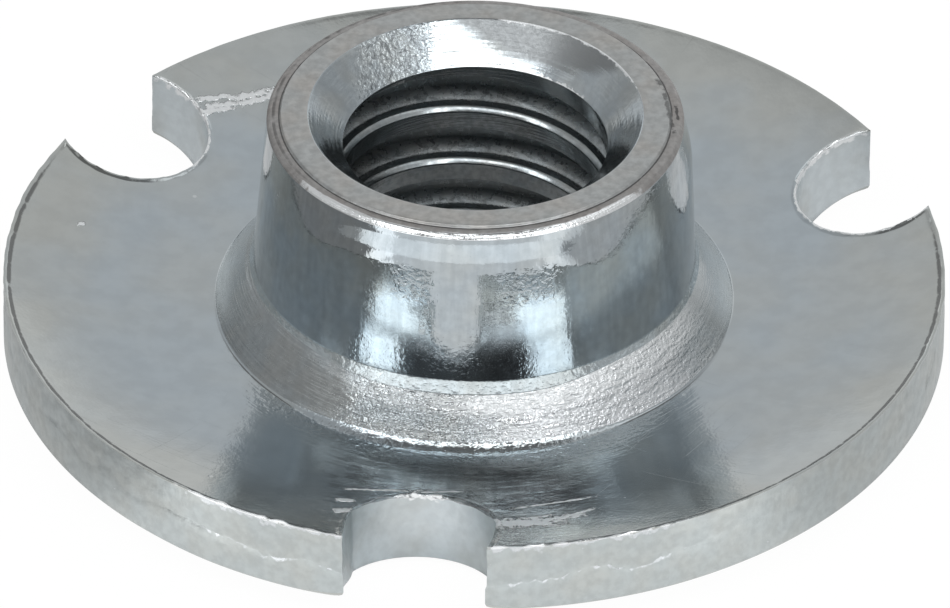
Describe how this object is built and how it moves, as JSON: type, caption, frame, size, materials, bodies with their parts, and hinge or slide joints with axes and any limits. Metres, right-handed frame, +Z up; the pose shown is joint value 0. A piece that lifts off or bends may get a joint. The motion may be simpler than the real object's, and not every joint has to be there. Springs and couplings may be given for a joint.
{
  "type": "tee nut",
  "caption": "Round-flanged tee nut: a dished flange with open round notches, a conical collar and a short tapered barrel with a countersunk, tapped bore.",
  "frame": {"origin": "on the bore's axis, in the plane that the underside rests on", "axes": "+Z up the bore from the flange to the rim of the barrel; one notch lies towards -Y"},
  "size_m": [0.0188, 0.0187, 0.006],
  "materials": {
    "zinc_plated_steel": "bright zinc plate: satin flange, grainy coined collar, smooth drawn barrel"
  },
  "bodies": {
    "root": {"tee_nut": "zinc_plated_steel"}
  },
  "joints": []
}
